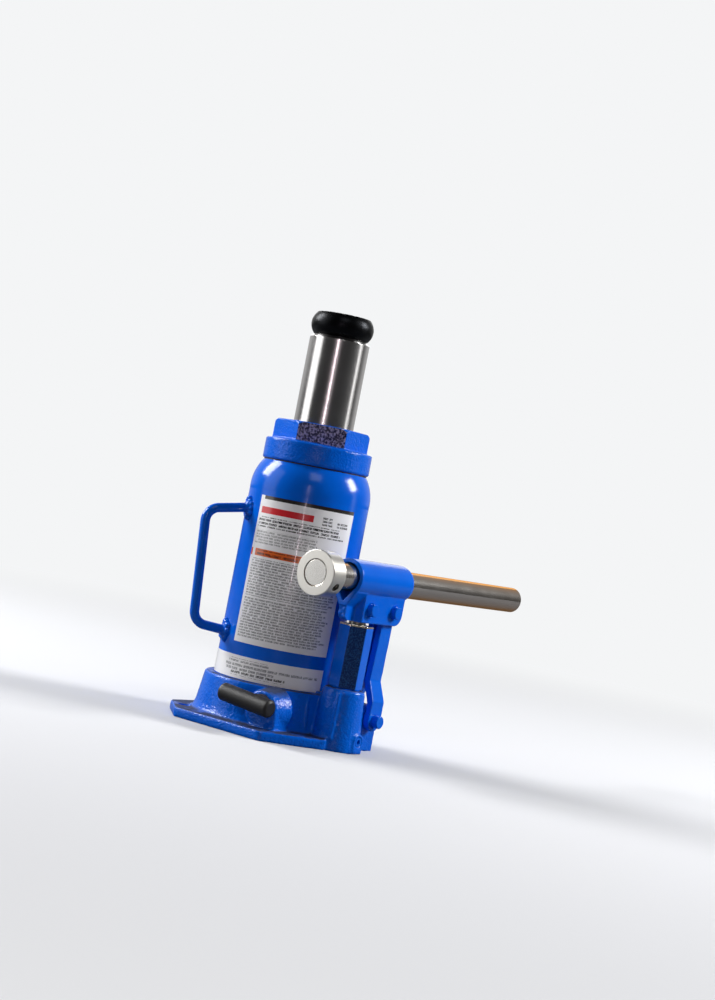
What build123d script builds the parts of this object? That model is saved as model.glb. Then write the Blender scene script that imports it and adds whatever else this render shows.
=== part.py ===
from build123d import *
import os
from math import cos, radians, sin

# A hydraulic bottle jack of the 12 ton class with its pump linkage, handle bar and carry handle.
# Millimetres. +Z runs up the tank's axis from the base's underside, +X points to the pump, and the
# handle bar lies along Y.

# ---- driving dimensions -------------------------------------------------------------------------
FIT = 0.05                # radial clearance of a shaft or pin in its hole
GAP = 0.3                 # clearance between neighbours that move apart

# base casting
PLATE_T = 7.0             # foot plate thickness
PLATE_CORNER_R = 5.0
PLATE_HALF = 61.0         # half the plate's width in Y
PLATE_BACK = -64.0        # plate's far edge on the side away from the pump
PLATE_FRONT = 68.0        # plate's edge under the pump
BACK_FLAT = -35.0         # where the long edges turn into the back chamfers
FRONT_FLAT = 42.0         # where the long edges turn into the front chamfers
BACK_CORNER_Y, FRONT_CORNER_Y = 32.0, 20.0
BOLT_X, BOLT_Y, BOLT_R = -44.0, 40.0, 4.5
COLLAR_TOP, COLLAR_R_TOP, COLLAR_R_LOW = 35.0, 49.6, 54.2
ROOT_R = 4.5              # cast fillet where the collar and the boss stand on the plate
SEAT_Z = 27.0             # floor of the recess that the tank stands in
PUMP_X = 62.0             # pump axis, and the plane of the handle bar
BOSS_TOP, BOSS_R_TOP, BOSS_R_LOW = 43.0, 14.6, 18.0
LUG_R, LUG_HALF = 10.8, 7.0
LUG_PLAY = 1.2            # extra radius of the lug's hole round pin C
OIL_WAY_R, OIL_WAY_Z = 2.5, 5.0
PLUG_Y, PLUG_Z, PLUG_R, PLUG_FACE = 3.0, 8.5, 3.5, 80.5   # overload valve, its bore along X

# tank, cylinder, nut
TANK_R, TANK_WALL = 43.3, 2.6
TANK_TOP, SHOULDER_Z = 190.0, 168.0
TANK_MOUTH_R = 35.2
GASKET_T = 2.0
CYL_R, CYL_BORE, CYL_LOW, CYL_TOP = 30.0, 23.0, 10.0, 197.5
NUT_R, NUT_LOW, NUT_STEP, NUT_TOP = 38.6, 190.8, 206.2, 220.5
NUT_FLATS = 60.0          # across flats
NUT_TURN = -53.0          # direction of one flat's normal, degrees from +X
WIPER_R, WIPER_LOW, WIPER_TOP = 24.5, 213.5, 217.5

# ram, screw, saddle
RAM_R, RAM_LOW, RAM_TOP = 21.65, 86.0, 284.5
PISTON_LOW, SPIGOT_R = 72.0, 14.0
SCREW_R, SCREW_LOW = 14.0, 206.0
STUB_R, STUB_TOP = 10.0, 293.5
SNAP_R, SNAP_SEAT_R, SNAP_LOW, SNAP_TOP = 11.6, 8.5, 290.0, 291.2
SADDLE_R, SADDLE_TOP = 22.6, 300.8
GROOVE, GROOVE_PITCH = 1.2, 5.4   # cross cuts in the saddle's top face

# pump and linkage: A is the pump piston's pin, B the link's upper pin, C its lower pin (Y, Z)
HEX_FLATS, HEX_TURN, HEX_TOP = 21.0, -48.0, 88.4
PLUNGER_R, PLUNGER_LOW = 6.0, 22.0
PUMP_THREAD_R, PUMP_THREAD_LOW = 10.0, 15.2
PUMP_WIPER_R, PUMP_WIPER_LOW, PUMP_WIPER_TOP = 9.0, 84.0, 86.5
PIN_R = 4.5
A_Y, A_Z = 0.0, 100.0
B_Y, B_Z = 29.0, 100.0
C_Y, C_Z = 26.0, 22.5
EYE_R, EYE_HALF = 6.6, 5.6
ARM_IN, ARM_T, ARM_STEP = 1.2, 4.8, 6.3  # arm's inner face from the pump plane, thickness, joggle
SHEET = 3.0               # socket's sheet thickness
EAR_IN = 6.3              # ear's inner face from the pump plane
EAR_LOW, EAR_NEAR, EAR_FAR = 90.4, -8.6, 40.0
MOUTH_Y, TUBE_END = -22.5, 45.0
WEB_Y, WEB_END = -21.0, -10.6

# handle bar
BAR_R, BAR_L, BAR_Z, BAR_Y = 9.525, 260.0, 120.0, -59.8
SOCKET_R = 13.2
RING_R, RING_W = 15.875, 14.3
RING_Y = BAR_Y - 0.2      # the stop collar stands a little proud of the bar's end
SET_SCREW_TURN = -28.0    # direction of its set screw about the bar, from +X to +Z
SET_SCREW_R = 3.0

# release valve: its axis runs along Y through (VALVE_X, VALVE_Z)
VALVE_X, VALVE_Z, VALVE_R = 32.0, 24.0, 5.5
VALVE_FACE = -50.0
LEVER_Y, LEVER_R, LEVER_TILT = -60.0, 6.3, 4.7
LEVER_LEFT, LEVER_RIGHT = 28.8, 15.4

# carry handle: a bent bar in the upright plane at CARRY_TURN degrees from +X
CARRY_TURN, CARRY_R = 238.0, 3.4
CARRY_TOP, CARRY_LOW = 153.8, 65.1
CARRY_BENDS = [(74.3, 147.9), (68.0, 67.3)]   # distance from the tank's axis, height

# labels
LABEL_T = 0.25
LABEL_MID, LABEL_HALF = -53.0, 49.0
LABEL_LOW, LABEL_HIGH = 60.5, 164.4
STRIP_FROM, STRIP_TO, STRIP_LOW, STRIP_HIGH = -143.0, -4.0, 35.3, 51.2

# filler plug, at the back of the tank
FILLER_TURN, FILLER_Z, FILLER_R = 127.0, 158.0, 5.0


# ---- helpers ------------------------------------------------------------------------------------
LOW = (Align.CENTER, Align.CENTER, Align.MIN)
PUMP_PLANE = Plane.YZ.offset(PUMP_X)   # mirror plane of the linkage


def post(radius, z0, z1, x=0.0, y=0.0):
    """A round bar along Z."""
    return Pos(x, y, z0) * Cylinder(radius, z1 - z0, align=LOW)


def bar_x(radius, x0, x1, y, z):
    """A round bar along X."""
    return Pos(x0, y, z) * Rot(0, 90, 0) * Cylinder(radius, x1 - x0, align=LOW)


def bar_y(radius, y0, y1, x, z):
    """A round bar along Y."""
    return Pos(x, y0, z) * Rot(-90, 0, 0) * Cylinder(radius, y1 - y0, align=LOW)


def ring(r_out, r_in, z0, z1, x=0.0, y=0.0):
    """A flat ring about a Z axis."""
    return post(r_out, z0, z1, x, y) - post(r_in, z0, z1, x, y)


def block(x0, x1, y0, y1, z0, z1):
    """A box from corner to corner."""
    low = (Align.MIN, Align.MIN, Align.MIN)
    return Pos(x0, y0, z0) * Box(x1 - x0, y1 - y0, z1 - z0, align=low)


def slab_x(points, x0, x1):
    """A (Y, Z) outline pushed along X."""
    return Pos(x0, 0, 0) * extrude(Plane.YZ * Polygon(*points, align=None), x1 - x0)


def slab_y(points, y0, y1):
    """An (X, Z) outline pushed along Y."""
    return Pos(0, y1, 0) * extrude(Plane.XZ * Polygon(*points, align=None), y1 - y0)


def hexagon(flats, turn, z0, z1, x=0.0, y=0.0):
    """A hexagonal prism along Z, with the normal of one flat at turn degrees from +X."""
    outline = RegularPolygon(flats / 2, 6, major_radius=False, rotation=turn + 30)
    return Pos(x, y, z0) * extrude(outline, z1 - z0)


def rim_cone(r_low, r_top, z0, z1, x=0.0, y=0.0):
    """A cone along Z, used to chamfer the top of a hexagon."""
    return Pos(x, y, z0) * Cone(r_low, r_top, z1 - z0, align=LOW)


def coil(wire_r, mean_r, z0, z1, turns):
    """A helical spring along Z."""
    path = Helix((z1 - z0 - 2 * wire_r) / turns, z1 - z0 - 2 * wire_r, mean_r)
    section = Plane(path @ 0, z_dir=path % 0) * Circle(wire_r)
    return Pos(0, 0, z0 + wire_r) * sweep(section, path, is_frenet=True)


# ---- base ---------------------------------------------------------------------------------------
def plate_outline():
    """Half the foot plate's corners, then their mirror images."""
    side = [(PLATE_BACK, -BACK_CORNER_Y), (BACK_FLAT, -PLATE_HALF), (FRONT_FLAT, -PLATE_HALF),
            (PLATE_FRONT, -FRONT_CORNER_Y)]
    return side + [(x, -y) for x, y in reversed(side)]


def root_fillet(wall_r, x=0.0):
    """Concave ring where a round wall stands on the foot plate."""
    out, top, depth = wall_r + ROOT_R, PLATE_T + ROOT_R, PLATE_T - 2
    sag = ROOT_R * (1 - cos(radians(45)))
    outline = Polyline((wall_r, top), (wall_r - 2, top), (wall_r - 2, depth), (out, depth), (out, PLATE_T))
    outline += ThreePointArc((out, PLATE_T), (wall_r + sag, PLATE_T + sag), (wall_r, top))
    return Pos(x, 0, 0) * revolve(Plane.XZ * make_face(outline), Axis.Z)


def base_casting():
    """Foot plate, tank collar, pump boss, link lug and valve boss in one casting, then its bores."""
    plate = extrude(Polygon(*plate_outline(), align=None), PLATE_T)
    plate = fillet(plate.edges().filter_by(Axis.Z), PLATE_CORNER_R)
    plate = fillet(plate.edges().group_by(Axis.Z)[-1], 1.5)
    collar = Cone(COLLAR_R_LOW, COLLAR_R_TOP, COLLAR_TOP, align=LOW)
    collar = fillet(collar.edges().group_by(Axis.Z)[-1], 2.0)
    boss = rim_cone(BOSS_R_LOW, BOSS_R_TOP, 0, BOSS_TOP, PUMP_X)
    boss = fillet(boss.edges().group_by(Axis.Z)[-1], 3.0)
    bridge = block(36, PUMP_X, -7.5, 7.5, 0, COLLAR_TOP + 2)
    lug_x = (PUMP_X - LUG_HALF, PUMP_X + LUG_HALF)
    lug = bar_x(LUG_R, *lug_x, C_Y, C_Z) + block(*lug_x, 8, C_Y + LUG_R, 0, C_Z)
    valve_boss = Pos(VALVE_X - 1, VALVE_FACE, VALVE_Z - 4) * Rot(-90, 0, 0) * Cone(
        12.5, 16.0, 16.0, align=LOW)
    valve_foot = block(VALVE_X - 12, VALVE_X + 12, VALVE_FACE + 1, -34, 0, VALVE_Z - 4)
    plug_low = block(66, PLUG_FACE, PLUG_Y - 5.5, PLUG_Y + 5.5, 0, PLUG_Z)
    plug_boss = bar_x(5.5, 66, PLUG_FACE, PLUG_Y, PLUG_Z) + plug_low
    roots = root_fillet(COLLAR_R_LOW - 1.0) + root_fillet(BOSS_R_LOW - 0.6, PUMP_X)
    roots &= extrude(Polygon(*plate_outline(), align=None), COLLAR_TOP)
    body = plate + collar + boss + bridge + lug + valve_boss + valve_foot + plug_boss + roots
    body -= post(TANK_R + GAP, SEAT_Z, 60)
    body -= post(CYL_R, CYL_LOW, SEAT_Z)
    body -= post(PUMP_THREAD_R, PUMP_THREAD_LOW, 50, PUMP_X)
    body -= bar_x(PIN_R + LUG_PLAY, *lug_x, C_Y, C_Z)
    body -= valve_bores()
    body -= bar_x(PLUG_R, 66.5, 81, PLUG_Y, PLUG_Z)
    for side in (-1, 1):
        body -= post(BOLT_R, -1, PLATE_T + 30, BOLT_X, side * BOLT_Y)
    return body - oil_way()


def valve_bores():
    """The release valve's stem bore, its ball's pocket and the seat behind the ball."""
    stem = bar_y(VALVE_R + FIT, VALVE_FACE - 1, -34, VALVE_X, VALVE_Z)
    return stem + bar_y(2.7, -34.5, -30, VALVE_X, VALVE_Z) + bar_y(1.8, -31, -27, VALVE_X, VALVE_Z)


def oil_way():
    """Drilling from under the pump to under the ram, with the pocket of its check ball."""
    rise = 15.0
    way = bar_x(OIL_WAY_R, rise, PUMP_X, 0, OIL_WAY_Z)
    way += post(OIL_WAY_R, OIL_WAY_Z, CYL_LOW, rise)
    way += post(OIL_WAY_R, OIL_WAY_Z, 8, PUMP_X)
    return way + post(4.0, 8, PUMP_THREAD_LOW, PUMP_X)


def tank():
    """Drawn steel shell with a rounded shoulder, open at both ends."""
    foot = SEAT_Z + GASKET_T
    inner = TANK_R - TANK_WALL
    outline = Line((TANK_R, foot), (TANK_R, SHOULDER_Z))
    outline += ThreePointArc((TANK_R, SHOULDER_Z), (42.0, 180.5), (37.3, TANK_TOP))
    outline += Polyline((37.3, TANK_TOP), (TANK_MOUTH_R, TANK_TOP), (TANK_MOUTH_R, 187.2))
    outline += ThreePointArc((TANK_MOUTH_R, 187.2), (39.5, 179.5), (inner, SHOULDER_Z))
    outline += Polyline((inner, SHOULDER_Z), (inner, foot), (TANK_R, foot))
    shell = revolve(Plane.XZ * make_face(outline), Axis.Z)
    hole = Rot(0, 0, FILLER_TURN) * bar_x(FILLER_R, 38, 46, 0, FILLER_Z)
    return shell - hole


def top_nut():
    """Round flange and hexagon that close the tank and guide the ram."""
    flange = fillet(post(NUT_R, NUT_LOW, NUT_STEP).edges(), 1.4)
    head = hexagon(NUT_FLATS, NUT_TURN, NUT_STEP - 1, NUT_TOP)
    head &= rim_cone(NUT_FLATS / 2 + 15.5, NUT_FLATS / 2 + 1.0, NUT_STEP - 1, NUT_TOP + 2)
    skirt = post(TANK_MOUTH_R - 0.2, 180, NUT_LOW + 1)
    body = flange + head + skirt
    body -= post(CYL_R, 179, CYL_TOP + 0.5)
    body -= post(RAM_R + FIT, 190, NUT_TOP + 1)
    return body - post(WIPER_R, WIPER_LOW, WIPER_TOP)


# ---- carry handle -------------------------------------------------------------------------------
def carry_handle():
    """Round bar bent into a trapezoid grip, its two feet set against the tank with weld collars."""
    root = TANK_R - 0.3
    corner = [(root, CARRY_TOP), *CARRY_BENDS, (root, CARRY_LOW)]
    path = FilletPolyline(*corner, radius=10.0)
    run = (corner[1][0] - root, 0, corner[1][1] - CARRY_TOP)
    start = Plane((root, 0, CARRY_TOP), z_dir=run)
    grip = sweep(start * Circle(CARRY_R), Plane.XZ * path)
    for z in (CARRY_TOP, CARRY_LOW):
        grip += Pos(root, 0, z) * Rot(0, 90, 0) * Cone(6.2, 3.8, 3.6, align=LOW)
    grip -= post(TANK_R, 40, 180)
    return Rot(0, 0, CARRY_TURN) * grip


def wrap(z0, z1, turn0, turn1):
    """A film on the tank between two heights and two directions."""
    film = ring(TANK_R + LABEL_T, TANK_R, z0, z1)
    reach = 80.0
    steps = max(1, int((turn1 - turn0) // 40))
    edge = [turn0 + (turn1 - turn0) * k / (steps + 1) for k in range(steps + 2)]
    fan = [(0, 0)] + [(reach * cos(radians(t)), reach * sin(radians(t))) for t in edge]
    return film & Pos(0, 0, z0) * extrude(Polygon(*fan, align=None), z1 - z0)


def filler_plug():
    """Rubber plug with a domed head."""
    plug = bar_x(FILLER_R - 0.02, 38.5, 43.6, 0, FILLER_Z)
    head = bar_x(7.5, 43.9, 46.4, 0, FILLER_Z)
    head = fillet(head.edges().sort_by(Axis.X)[-1], 1.5)
    neck = bar_x(4.0, 43.0, 44.5, 0, FILLER_Z)
    return Rot(0, 0, FILLER_TURN) * (plug + neck + head)


# ---- ram, screw and saddle ----------------------------------------------------------------------
def ram():
    """Ground steel ram with a threaded bore for the extension screw and a spigot for its piston."""
    body = post(RAM_R, RAM_LOW, RAM_TOP)
    body = chamfer(body.edges().group_by(Axis.Z)[-1], 2.2)
    body += post(SPIGOT_R, PISTON_LOW, RAM_LOW)
    return body - post(SCREW_R + FIT, SCREW_LOW - 5, RAM_TOP + 1)


def extension_screw():
    """Threaded post with a plain stub that the saddle turns on."""
    body = post(SCREW_R, SCREW_LOW, RAM_TOP)
    body = chamfer(body.edges().group_by(Axis.Z)[0], 1.5)
    body += post(STUB_R, RAM_TOP, STUB_TOP)
    return body - ring(STUB_R + 1, SNAP_SEAT_R, SNAP_LOW, SNAP_TOP)


def saddle():
    """Swivel cap with a barrel edge and a cross-cut top face."""
    low = RAM_TOP + GAP
    mid = (low + SADDLE_TOP) / 2
    rim = SADDLE_R - 3.4
    outline = Line((0, low), (rim, low))
    outline += ThreePointArc((rim, low), (SADDLE_R, mid), (rim, SADDLE_TOP))
    outline += Polyline((rim, SADDLE_TOP), (0, SADDLE_TOP), (0, low))
    cap = revolve(Plane.XZ * make_face(outline), Axis.Z)
    cap -= post(STUB_R + GAP, low - 1, STUB_TOP + GAP)
    cap -= ring(SNAP_R + 0.6, STUB_R, SNAP_LOW - 0.4, SNAP_TOP + 0.4)
    floor, reach = SADDLE_TOP - GROOVE, SADDLE_R + 5
    for k in range(-3, 4):
        near, far = k * GROOVE_PITCH - GROOVE / 2, k * GROOVE_PITCH + GROOVE / 2
        cap -= block(near, far, -reach, reach, floor, SADDLE_TOP + 1)
        cap -= block(-reach, reach, near, far, floor, SADDLE_TOP + 1)
    return cap


# ---- pump and linkage ---------------------------------------------------------------------------
def pump_body():
    """Hexagonal pump cylinder screwed into the base."""
    body = hexagon(HEX_FLATS, HEX_TURN, BOSS_TOP + 0.2, HEX_TOP, PUMP_X)
    body &= rim_cone(HEX_FLATS / 2 + 47.0, HEX_FLATS / 2 + 0.3, BOSS_TOP, HEX_TOP + 0.8, PUMP_X)
    body += post(PUMP_THREAD_R, PUMP_THREAD_LOW + 0.2, BOSS_TOP + 0.5, PUMP_X)
    body -= post(PLUNGER_R + FIT, 15, HEX_TOP + 1, PUMP_X)
    return body - post(PUMP_WIPER_R, PUMP_WIPER_LOW, PUMP_WIPER_TOP, PUMP_X)


def pump_plunger():
    """Pump piston with a flat eye for pin A."""
    body = post(PLUNGER_R, PLUNGER_LOW, A_Z, PUMP_X)
    sides = block(40, PUMP_X - EYE_HALF, -10, 10, HEX_TOP + 1, A_Z + 1)
    body -= sides + mirror(sides, PUMP_PLANE)
    body += post(4.0, 18.0, PLUNGER_LOW, PUMP_X)
    body += bar_x(EYE_R, PUMP_X - EYE_HALF, PUMP_X + EYE_HALF, A_Y, A_Z)
    return body - bar_x(PIN_R + FIT, PUMP_X - 10, PUMP_X + 10, A_Y, A_Z)


def link_arm():
    """Flat bar between pins B and C on the pump plane's +X side, joggled outwards near its foot."""
    r_top, r_low = 6.3, 7.4
    bend_top, bend_low, bend_shift = 49.0, 35.0, 1.2
    x0, x1 = PUMP_X - 20, PUMP_X + 20
    front = slab_x([(C_Y - r_low, C_Z), (C_Y + r_low, C_Z), (B_Y + r_top, B_Z),
                    (B_Y - r_top, B_Z)], x0, x1)
    front += bar_x(r_top, x0, x1, B_Y, B_Z) + bar_x(r_low, x0, x1, C_Y, C_Z)
    near, far = PUMP_X + ARM_IN, PUMP_X + ARM_IN + ARM_STEP
    strip = slab_y([(near, 110), (near, bend_top), (far, bend_low), (far, 10),
                    (far + ARM_T, 10), (far + ARM_T, bend_low + bend_shift),
                    (near + ARM_T, bend_top + bend_shift), (near + ARM_T, 110)], -10, 60)
    arm = front & strip
    arm -= bar_x(PIN_R, x0, x1, C_Y, C_Z)
    return arm - bar_x(PIN_R + FIT, x0, x1, B_Y, B_Z)


def socket_half():
    """The sheet below the tube on the pump plane's +X side: ear, splay, folded web and throat."""
    ear_out = PUMP_X + EAR_IN + SHEET
    half = block(PUMP_X + EAR_IN, ear_out, EAR_NEAR, EAR_FAR, EAR_LOW, 112.5)
    plan = [(PUMP_X, WEB_Y), (PUMP_X + SHEET, WEB_Y), (PUMP_X + SHEET, WEB_END),
            (ear_out, EAR_NEAR), (ear_out - 1.0, EAR_NEAR + 1.6), (PUMP_X, EAR_NEAR + 0.7)]
    half += Pos(0, 0, EAR_LOW) * extrude(Polygon(*plan, align=None), 103 - EAR_LOW)
    splay = [(PUMP_X, WEB_END - 1), *plan[2:]]
    half += Pos(0, 0, 102) * extrude(Polygon(*splay, align=None), 8)
    throat = [(PUMP_X, 100.5), (PUMP_X + SHEET, 100.5), (PUMP_X + 10.4, 111.2),
              (PUMP_X + 7.2, 113.2), (PUMP_X, 103.6)]
    return half + slab_y(throat, MOUTH_Y, EAR_NEAR + 0.7)


def lower_corner(y, inward, radius):
    """What a rounded lower corner of the socket's sheet loses; inward is the way to the sheet's middle."""
    near, far = sorted((y - inward, y + inward * radius))
    corner = block(PUMP_X - 20, PUMP_X + 20, near, far, EAR_LOW - 1, EAR_LOW + radius)
    return corner - bar_x(radius, PUMP_X - 20, PUMP_X + 20, y + inward * radius, EAR_LOW + radius)


def handle_socket():
    """Pressed sheet socket: a tube for the bar, two ears below it and a folded web at its mouth."""
    tube = bar_y(SOCKET_R, MOUTH_Y, TUBE_END, PUMP_X, BAR_Z)
    tube = fillet(tube.edges().sort_by(Axis.Y)[-1], 5.0)
    # the tube's sheet leaves the circle where the ears and the throat take over
    tube -= block(PUMP_X - EAR_IN, PUMP_X + EAR_IN, MOUTH_Y - 1, EAR_FAR, EAR_LOW, 112.5)
    half = socket_half()
    body = tube + half + mirror(half, PUMP_PLANE)
    body -= bar_y(SOCKET_R - SHEET, MOUTH_Y - 1, TUBE_END + 1, PUMP_X, BAR_Z)
    body -= lower_corner(EAR_FAR, -1, 8.0) + lower_corner(WEB_Y, 1, 4.5)
    body -= bar_x(PIN_R, PUMP_X - 20, PUMP_X + 20, A_Y, A_Z)
    return body - bar_x(PIN_R, PUMP_X - 20, PUMP_X + 20, B_Y, B_Z)


def cross_pin(y, z, rear, front):
    """Plain pin along X through the linkage, with chamfered ends; reaches from the pump plane."""
    pin = bar_x(PIN_R, PUMP_X - rear, PUMP_X + front, y, z)
    return chamfer(pin.edges().filter_by(GeomType.CIRCLE), 0.5)


# ---- handle bar ---------------------------------------------------------------------------------
def on_set_screw(distance):
    """The place on the set screw's axis at a distance from the bar's axis."""
    return Pos(PUMP_X, RING_Y + RING_W / 2, BAR_Z) * Rot(0, 90 - SET_SCREW_TURN, 0) * Pos(0, 0, distance)


def bar_stop_collar():
    """Set-screw shaft collar with its radial tapped hole."""
    body = bar_y(RING_R, RING_Y, RING_Y + RING_W, PUMP_X, BAR_Z)
    body = chamfer(body.edges().filter_by(GeomType.CIRCLE), 0.5)
    body -= bar_y(BAR_R, BAR_Y - 1, BAR_Y + RING_W + 1, PUMP_X, BAR_Z)
    return body - on_set_screw(BAR_R - 0.5) * Cylinder(SET_SCREW_R, RING_R - BAR_R + 1.5, align=LOW)


def stop_collar_screw():
    """Set screw with a hexagon socket."""
    body = on_set_screw(BAR_R + 0.05) * Cylinder(SET_SCREW_R, 3.8, align=LOW)
    return body - on_set_screw(10.8) * extrude(RegularPolygon(1.6, 6), 4)


def handle_bar():
    """Plated steel bar."""
    body = bar_y(BAR_R, BAR_Y, BAR_Y + BAR_L, PUMP_X, BAR_Z)
    return chamfer(body.edges().filter_by(GeomType.CIRCLE), 0.8)


# ---- release valve ------------------------------------------------------------------------------
def lever_bar(radius, left, right):
    """A round bar along the release lever, left and right of the valve's axis."""
    return Pos(VALVE_X, LEVER_Y, VALVE_Z) * Rot(0, LEVER_TILT, 0) * bar_x(radius, -left, right, 0, 0)


def release_stem():
    """Valve stem with the crossways steel bar of its lever."""
    stem = bar_y(VALVE_R, VALVE_FACE, -36.0, VALVE_X, VALVE_Z)
    stem += bar_y(4.5, LEVER_Y + 1, VALVE_FACE, VALVE_X, VALVE_Z)
    return stem + lever_bar(2.8, LEVER_LEFT - 4, LEVER_RIGHT - 3)


def release_grip():
    """Moulded grip over the lever, with a short hub around the stem."""
    grip = lever_bar(LEVER_R, LEVER_LEFT, LEVER_RIGHT)
    ends = grip.edges().filter_by(GeomType.CIRCLE).sort_by(Axis.X)
    grip = fillet(ends[0], 2.2)
    grip = chamfer(grip.edges().filter_by(GeomType.CIRCLE).sort_by(Axis.X)[-1], 1.4)
    grip += bar_y(6.5, LEVER_Y, VALVE_FACE - GAP, VALVE_X, VALVE_Z)
    return grip - release_stem()


# ---- the nodes ----------------------------------------------------------------------------------
def build():
    """Every node by name."""
    parts = {}
    parts["base_casting"] = base_casting()
    parts["tank_gasket_lower"] = ring(TANK_R, TANK_R - 4, SEAT_Z, SEAT_Z + GASKET_T)
    parts["tank"] = tank()
    parts["tank_gasket_upper"] = ring(37.2, TANK_MOUTH_R, TANK_TOP, NUT_LOW)
    parts["pressure_cylinder"] = ring(CYL_R, CYL_BORE, CYL_LOW, CYL_TOP)
    parts["cylinder_gasket"] = ring(CYL_R, CYL_BORE + 0.5, CYL_TOP, CYL_TOP + 0.5)
    parts["top_nut"] = top_nut()
    parts["ram_wiper"] = ring(WIPER_R, RAM_R + FIT, WIPER_LOW, WIPER_TOP)
    parts["carry_handle"] = carry_handle()
    parts["main_label"] = wrap(LABEL_LOW, LABEL_HIGH, LABEL_MID - LABEL_HALF, LABEL_MID + LABEL_HALF)
    parts["lower_label"] = wrap(STRIP_LOW, STRIP_HIGH, STRIP_FROM, STRIP_TO)
    parts["filler_plug"] = filler_plug()

    parts["ram"] = ram()
    parts["ram_piston"] = ring(CYL_BORE - FIT, SPIGOT_R, 80.0, RAM_LOW)
    parts["ram_cup_seal"] = ring(CYL_BORE - FIT, SPIGOT_R, 75.0, 80.0)
    parts["ram_piston_nut"] = hexagon(36.0, 0, PISTON_LOW, 75.0) - post(SPIGOT_R, 70, 76)
    parts["extension_screw"] = extension_screw()
    split = block(5, 13, -1.5, 1.5, SNAP_LOW - 1, SNAP_TOP + 1)
    parts["saddle_snap_ring"] = ring(SNAP_R, SNAP_SEAT_R, SNAP_LOW, SNAP_TOP) - split
    parts["saddle"] = saddle()

    parts["pump_body"] = pump_body()
    parts["pump_wiper"] = ring(PUMP_WIPER_R, PLUNGER_R + FIT, PUMP_WIPER_LOW, PUMP_WIPER_TOP, PUMP_X)
    parts["pump_plunger"] = pump_plunger()
    parts["pump_cup_seal"] = ring(PLUNGER_R, 4.0, 19.0, PLUNGER_LOW, PUMP_X)
    parts["inlet_check_ball"] = Pos(PUMP_X, 0, 11.2) * Sphere(3.0)
    parts["link_arm_front"] = link_arm()
    parts["link_arm_rear"] = mirror(link_arm(), PUMP_PLANE)
    parts["handle_socket"] = handle_socket()
    ear_out = EAR_IN + SHEET
    arm_out = ARM_IN + ARM_STEP + ARM_T
    parts["plunger_pin"] = cross_pin(A_Y, A_Z, ear_out + 2.0, ear_out + 4.0)
    parts["link_pin"] = cross_pin(B_Y, B_Z, ear_out + 2.0, ear_out + 4.0)
    parts["base_pin"] = cross_pin(C_Y, C_Z, arm_out + 0.6, arm_out + 5.1)

    parts["handle_bar"] = handle_bar()
    parts["bar_stop_collar"] = bar_stop_collar()
    parts["stop_collar_screw"] = stop_collar_screw()

    parts["release_stem"] = release_stem()
    parts["release_grip"] = release_grip()
    parts["release_ball"] = Pos(VALVE_X, -33.3, VALVE_Z) * Sphere(2.6)

    along_x = Pos(0, PLUG_Y, PLUG_Z) * Rot(0, 90, 0)
    plug_socket = along_x * Pos(0, 0, PLUG_FACE - 2.5) * extrude(RegularPolygon(1.8, 6), 4)
    parts["overload_plug"] = bar_x(PLUG_R, 75.5, PLUG_FACE - 0.5, PLUG_Y, PLUG_Z) - plug_socket
    parts["overload_spring"] = along_x * coil(0.5, 2.4, 71.0, 75.4, 3)
    parts["overload_ball"] = Pos(68.6, PLUG_Y, PLUG_Z) * Sphere(2.0)
    parts["oil_screen"] = ring(3.5, 1.0, SEAT_Z, SEAT_Z + 1.0, -35.4)
    return parts


nodes = build()
os.makedirs("parts", exist_ok=True)
for name, shape in nodes.items():
    export_step(shape, f"parts/{name}.step")
print(len(nodes), "nodes written")
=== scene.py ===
# %% [markdown]
# # A hydraulic bottle jack
# The jack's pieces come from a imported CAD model, which fixes every size and place. This lesson gives them
# their looks: rounded cast iron, pressed and welded steel under gloss enamel, hard chrome, plated bar
# stock, black oxide, moulded grip and printed vinyl.

# %% Load the frame
import math
import random

import bpy
from mathutils import Matrix, Vector


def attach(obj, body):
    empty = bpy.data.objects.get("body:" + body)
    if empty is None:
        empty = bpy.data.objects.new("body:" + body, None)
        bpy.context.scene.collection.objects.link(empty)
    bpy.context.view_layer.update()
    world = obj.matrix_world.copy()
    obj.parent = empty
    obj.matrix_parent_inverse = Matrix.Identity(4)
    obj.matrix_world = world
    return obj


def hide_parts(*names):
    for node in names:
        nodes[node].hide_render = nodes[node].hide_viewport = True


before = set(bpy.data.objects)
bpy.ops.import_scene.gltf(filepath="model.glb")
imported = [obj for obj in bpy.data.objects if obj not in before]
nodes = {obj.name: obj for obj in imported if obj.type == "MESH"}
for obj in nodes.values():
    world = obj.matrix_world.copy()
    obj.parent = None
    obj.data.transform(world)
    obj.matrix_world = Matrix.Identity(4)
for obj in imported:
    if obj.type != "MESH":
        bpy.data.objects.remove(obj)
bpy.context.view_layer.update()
MM = 0.001

# %% [markdown]
# ## Three small helpers
# Operators act on whatever is selected, and loading leaves the CAD pieces selected, so one helper selects
# a single object. Colours are picked as sRGB hex, while Blender's sockets want linear light. The last
# helper adds any shader node to a material or to the world: a socket is given either a constant or the
# output that feeds it.

# %% Helpers


def select_only(obj):
    """Make obj the one selected and active object."""
    bpy.ops.object.select_all(action="DESELECT")
    obj.select_set(True)
    bpy.context.view_layer.objects.active = obj


def linear(hex_colour):
    """The linear RGBA of an sRGB hex colour such as #0A50DC."""
    parts = [int(hex_colour[i:i + 2], 16) / 255 for i in (1, 3, 5)]
    return tuple(c / 12.92 if c <= 0.04045 else ((c + 0.055) / 1.055) ** 2.4 for c in parts) + (1.0,)


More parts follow.
